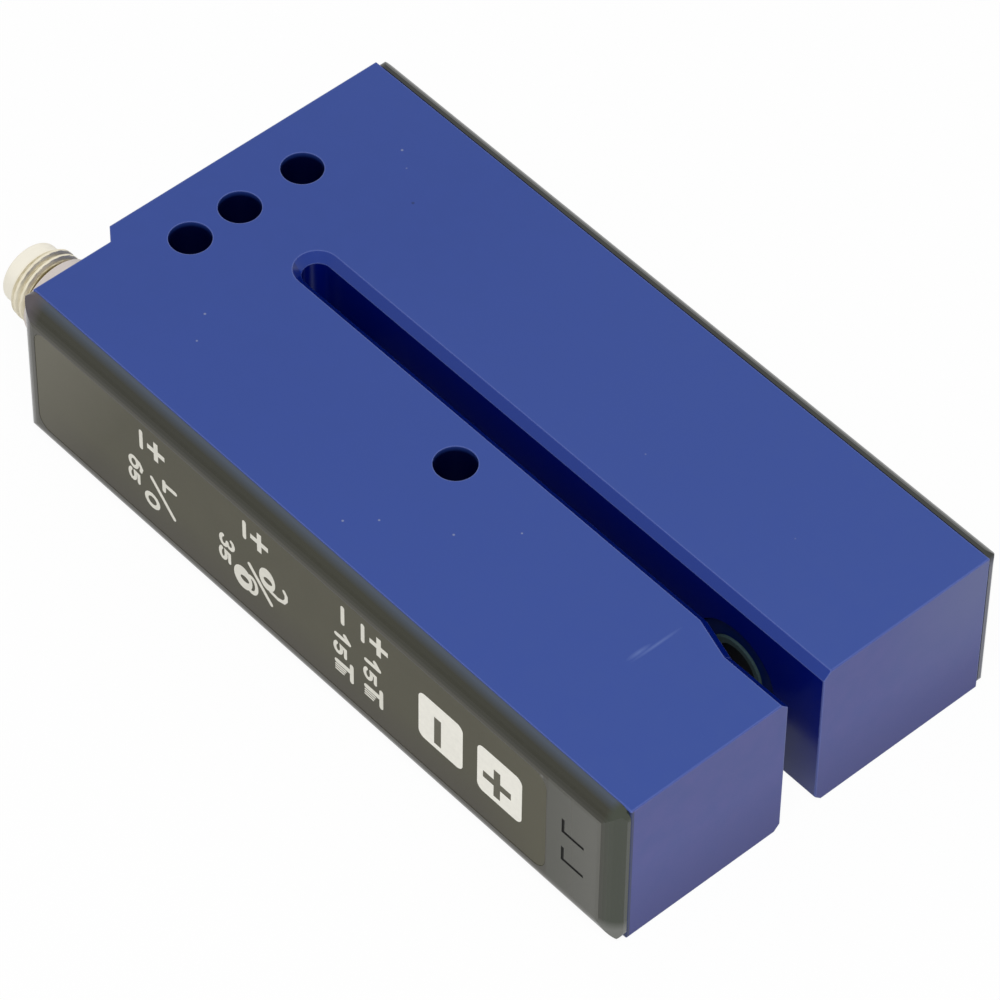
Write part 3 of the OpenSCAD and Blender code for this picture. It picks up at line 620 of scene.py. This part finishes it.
def stroke(bm, points, width, closed=False):
    """Flat ribbon with round ends along the points, as a thin solid on the label."""
    pts = [Vector(p) for p in points]
    n = len(pts)
    half = width / 2
    left, right = [], []
    for i, p in enumerate(pts):
        before = pts[i - 1] if (i > 0 or closed) else None
        after = pts[(i + 1) % n] if (i < n - 1 or closed) else None
        d0 = (p - before).normalized() if before is not None else None
        d1 = (after - p).normalized() if after is not None else None
        d = ((d0 or d1) + (d1 or d0)).normalized()
        side = Vector((-d.y, d.x)) * half / max(d.dot(d1 or d0), 0.5)
        left.append(p + side)
        right.append(p - side)
    top = next_lift()
    if closed:
        band(bm, left, right, PRINT_FOOT, top)
        return

    def cap(centre, start):
        a0 = math.atan2((start - centre).y, (start - centre).x)
        angles = [a0 - math.radians(t) for t in (36, 72, 108, 144)]
        return [centre + Vector((math.cos(a), math.sin(a))) * half for a in angles]

    outline = left + cap(pts[-1], left[-1]) + right[::-1] + cap(pts[0], right[0])
    a = [bm.verts.new((q.x, top, q.y)) for q in outline]
    b = [bm.verts.new((q.x, PRINT_FOOT, q.y)) for q in outline]
    m = len(left)
    for row in (a, b):
        for i in range(m - 1):
            bm.faces.new((row[i], row[i + 1], row[2 * m + 2 - i], row[2 * m + 3 - i]))
        bm.faces.new(row[m - 1:m + 5])
        bm.faces.new([row[0]] + row[2 * m + 3:])
    walls(bm, a, b)


def walls(bm, a, b):
    """Faces between two closed loops with the same number of points."""
    for i in range(len(a)):
        j = (i + 1) % len(a)
        bm.faces.new((a[i], a[j], b[j], b[i]))


def band(bm, outer, inner, low, top):
    """Flat closed band between two loops with the same number of points."""
    la, lb, ra, rb = [[bm.verts.new((q[0], y, q[1])) for q in line]
                      for line in (outer, inner) for y in (top, low)]
    for one, other in ((la, ra), (lb, rb), (la, lb), (ra, rb)):
        walls(bm, one, other)


def plate(bm, outline, low, top):
    """Flat solid with the outline."""
    a = [bm.verts.new((x, top, z)) for x, z in outline]
    b = [bm.verts.new((x, low, z)) for x, z in outline]
    bm.faces.new(a)
    bm.faces.new(b)
    walls(bm, a, b)


def arc(cx, cz, rx, rz, start, end, steps):
    """Points on an ellipse between two angles in degrees."""
    angles = [math.radians(start + (end - start) * i / steps) for i in range(steps + 1)]
    return [(cx + rx * math.cos(a), cz + rz * math.sin(a)) for a in angles]


def glyph(bm, digit, x0, x1, z1, z0, pen):
    """Digit in a cell, drawn turned: up is +x, reading direction is -z. The pen stays inside."""
    inset = pen / 2 + 0.04
    x0, x1, z0, z1 = x0 + inset, x1 - inset, z0 + inset, z1 - inset
    for line in DIGITS[digit]:
        closed = line[0] == line[-1]
        pts = [(x0 + v * (x1 - x0), z1 - u * (z1 - z0)) for u, v in (line[:-1] if closed else line)]
        stroke(bm, pts, pen, closed)


# Digits in a unit cell, as lines of points; a line that ends where it starts is a closed loop

def unit_arc(cx, cy, rx, ry, start, end, steps=10):
    return [(round(u, 4), round(v, 4)) for u, v in arc(cx, cy, rx, ry, start, end, steps)]


def unit_ring(cx, cy, rx, ry):
    line = unit_arc(cx, cy, rx, ry, 0, 360, 16)
    line[-1] = line[0]
    return line


DIGITS = {
    "0": [unit_ring(0.5, 0.5, 0.5, 0.5)],
    "1": [[(0.8, 0.0), (0.8, 1.0)], [(0.8, 0.98), (0.05, 0.66)]],
    "foot 1": [[(0.3, 0.0), (0.3, 1.0)], [(0.05, 0.0), (1.0, 0.0)]],
    "3": [unit_arc(0.45, 0.76, 0.45, 0.24, 160, -90), unit_arc(0.45, 0.26, 0.52, 0.26, 90, -160)],
    "5": [[(0.95, 1.0), (0.14, 1.0), (0.08, 0.60)] + unit_arc(0.44, 0.32, 0.5, 0.32, 115, -150)],
    "6": [unit_ring(0.5, 0.32, 0.48, 0.32), [(0.92, 0.92), (0.6, 1.0), (0.2, 0.8), (0.03, 0.38)]],
}

PEN = 0.50
FINE_PEN = 0.42


def plus_outline(x, z, b, a):
    """Plus sign: its arms reach b from the centre and are twice a wide."""
    corners = [(-b, -a), (-a, -a), (-a, -b), (a, -b), (a, -a), (b, -a),
               (b, a), (a, a), (a, b), (-a, b), (-a, a), (-b, a)]
    return [(x + u, z + v) for u, v in corners]


def legends():
    bm = bmesh.new()
    # minus and plus signs over the groups, and the slants in the first two
    for x, z1, z0 in ((19.16, 14.5, 11.9), (33.82, 14.55, 12.05),
                      (47.42, 14.65, 12.05), (50.16, 14.65, 12.1)):
        stroke(bm, [(x, z1 - PEN / 2), (x, z0 + PEN / 2)], PEN)
    for x, z in ((21.28, 13.14), (35.9, 13.22), (52.34, 13.32)):
        plate(bm, plus_outline(x, z, 1.24, 0.30), PRINT_FOOT, next_lift())
    for x0, z0, x1, z1 in ((20.5, 9.0, 23.6, 5.85), (34.4, 9.0, 37.4, 5.95)):
        stroke(bm, [(x0, z0), (x1, z1)], PEN)
    # first group
    glyph(bm, "6", 17.1, 19.3, 10.0, 8.15, FINE_PEN)
    glyph(bm, "5", 17.0, 18.8, 8.1, 6.3, FINE_PEN)
    glyph(bm, "0", 19.3, 21.6, 6.85, 4.75, PEN)
    glyph(bm, "foot 1", 22.0, 24.2, 10.3, 8.45, PEN)
    # second group, with an open and a closed lock sign
    glyph(bm, "3", 30.1, 32.4, 10.1, 8.35, FINE_PEN)
    glyph(bm, "5", 30.0, 31.8, 8.25, 6.35, FINE_PEN)
    lock(bm, (36.9, 9.02), (1.12, 1.4), (37.0, 8.88))
    shackle = [(37.3, 7.75), (38.4, 7.6), (39.2, 7.85), (39.55, 8.4), (39.55, 9.0), (39.25, 9.4)]
    stroke(bm, shackle, 0.44)
    lock(bm, (33.45, 6.3), (1.3, 1.46), (33.68, 6.28))
    stroke(bm, arc(34.62, 6.3, 0.74, 1.04, -112, 112, 12), 0.46)
    # third group, with two stepped pulse signs
    for x in (46.2, 50.3):
        glyph(bm, "1", x, x + 2.4, 11.05, 9.65, PEN)
        glyph(bm, "5", x - 0.15, x + 1.8, 9.2, 7.4, FINE_PEN)
    for x, z in ((46.3, 7.45), (50.35, 7.5)):
        stroke(bm, [(x + 2.3, z - 0.2), (x + 2.3, z - 2.3)], 0.52)
        stroke(bm, [(x + 0.25, z - 1.1), (x + 2.2, z - 1.1)], 0.6)
        for k in range(3):
            level = z - 1.62 - 0.32 * k
            stroke(bm, [(x + 0.1, level), (x + 1.5 - 0.15 * k, level)], 0.2)
    return bm


def lock(bm, centre, size, hole):
    """Round lock body with a keyhole."""
    outer = arc(*centre, *size, 0, 360, 24)[:-1]
    inner = arc(*hole, 0.60, 0.37, 0, 360, 24)[:-1]
    band(bm, outer, inner, PRINT_FOOT, next_lift())


def key_fields():
    """Two white squares with round corners."""
    bm = bmesh.new()
    r = 0.8
    for x0, x1, z0, z1 in ((57.72, 63.64, 6.28, 12.42), (65.58, 71.48, 6.15, 12.36)):
        outline = []
        for x, z, a in ((x1 - r, z1 - r, 0), (x0 + r, z1 - r, 90),
                        (x0 + r, z0 + r, 180), (x1 - r, z0 + r, 270)):
            outline += arc(x, z, r, r, a, a + 90, 6)
        plate(bm, outline, PRINT_FOOT, LABEL_Y - KEY_LIFT)
    return bm


def key_signs():
    """Dark minus and plus sign on the white squares."""
    bm = bmesh.new()
    top = LABEL_Y - SIGN_LIFT
    minus = [(59.82, 6.9), (60.74, 6.9), (60.74, 10.55), (59.82, 10.55)]
    plate(bm, minus, LABEL_Y, top)
    plate(bm, plus_outline(68.2, 8.7, 1.85, 0.43), LABEL_Y, top)
    return bm


def window_marks():
    """Dark paint in the two sunk corner marks."""
    bm = bmesh.new()
    for z in LAMP_Z:
        plate(bm, [(LAMP_X + a, z + b) for a, b in MARK], *MARK_PAINT_Y)
    return bm


add_piece("label_legends", legends(), PRINT_LEGEND, smooth=False)
add_piece("label_key_fields", key_fields(), PRINT_WHITE, smooth=False)
add_piece("label_key_signs", key_signs(), PRINT_DARK, smooth=False)
add_piece("window_lamp_marks", window_marks(), MARK_DARK, smooth=False)


# Floor, light and camera

WHITE = (1.0, 1.0, 1.0, 1.0)


def floor_material():
    """Pale matt floor that glows to the camera, and a little in glossy surfaces."""
    n = Nodes("pale_floor")
    cloud = n.noise(0.01, detail=3.0)
    n.colour(n.ramp(cloud, (0.3, (0.86, 0.86, 0.86)), (0.7, (0.90, 0.90, 0.90))))
    n.set(Roughness=0.9)
    glow = n.new("ShaderNodeEmission")
    glow.inputs["Color"].default_value = WHITE
    glow.inputs["Strength"].default_value = 1.0
    path = n.new("ShaderNodeLightPath").outputs
    mirrored = n.math("MAXIMUM", path["Is Glossy Ray"], path["Is Transmission Ray"])
    seen = n.math("MULTIPLY_ADD", mirrored, 0.3, n.times(path["Is Camera Ray"], 0.96))
    mix = n.new("ShaderNodeMixShader")
    n.link(seen, mix.inputs[0])
    n.link(n.shader.outputs[0], mix.inputs[1])
    n.link(glow.outputs[0], mix.inputs[2])
    n.link(mix.outputs[0], n.out.inputs[0])
    return n.mat


bm = bmesh.new()
bmesh.ops.create_circle(bm, cap_ends=True, segments=96, radius=6.0)
floor_mesh = bpy.data.meshes.new("studio_floor")
bm.to_mesh(floor_mesh)
bm.free()
floor_mesh.materials.append(floor_material())
floor = bpy.data.objects.new("studio_floor", floor_mesh)
floor.location = (0, 0, -0.0002)
bpy.context.scene.collection.objects.link(floor)

scene = bpy.context.scene
scene.view_settings.view_transform = "Standard"

# White world: full strength to the camera and in mirrors, weaker as a light
world = bpy.data.worlds.new("studio")
scene.world = world
world.use_nodes = True
tree = world.node_tree
tree.nodes.clear()
out = tree.nodes.new("ShaderNodeOutputWorld")
mix = tree.nodes.new("ShaderNodeMixShader")
for socket, strength in ((1, 0.42), (2, 1.0)):
    background = tree.nodes.new("ShaderNodeBackground")
    background.inputs["Color"].default_value = WHITE
    background.inputs["Strength"].default_value = strength
    tree.links.new(background.outputs[0], mix.inputs[socket])
path = tree.nodes.new("ShaderNodeLightPath").outputs
seen = path["Is Camera Ray"]
for other in ("Is Glossy Ray", "Is Transmission Ray"):
    either = tree.nodes.new("ShaderNodeMath")
    either.operation = "MAXIMUM"
    tree.links.new(seen, either.inputs[0])
    tree.links.new(path[other], either.inputs[1])
    seen = either.outputs[0]
tree.links.new(seen, mix.inputs[0])
tree.links.new(mix.outputs[0], out.inputs[0])

# Round softbox over the part
light = bpy.data.lights.new("overhead_softbox", "AREA")
light.shape = "DISK"
light.size = 0.6
light.energy = 6.1
softbox = bpy.data.objects.new("overhead_softbox", light)
softbox.location = (0.327, -0.305, 0.872)
softbox.rotation_euler = (-softbox.location).to_track_quat("-Z", "Y").to_euler()
softbox.visible_glossy = False
scene.collection.objects.link(softbox)

# Camera solved from the edges of the body in the photograph
lens = bpy.data.cameras.new("camera")
lens.sensor_fit = "HORIZONTAL"
lens.sensor_width = 36.0
lens.lens = 217.4031
lens.clip_start = 0.05
camera = bpy.data.objects.new("camera", lens)
right = Vector((0.6661834846600929, 0.7457228925353246, 0.009845421011055178))
down = Vector((0.5664923987682496, -0.497395452344301, -0.6570267316669871))
ahead = Vector((-0.48506280717442224, 0.44327771378218106, -0.7538029859055431))
place = metres(312.6105252974777, -225.2298115546846, 426.95239689513903)
camera.matrix_world = Matrix([(right[i], -down[i], -ahead[i], place[i]) for i in range(3)]
                             + [(0, 0, 0, 1)])
scene.collection.objects.link(camera)
scene.camera = camera
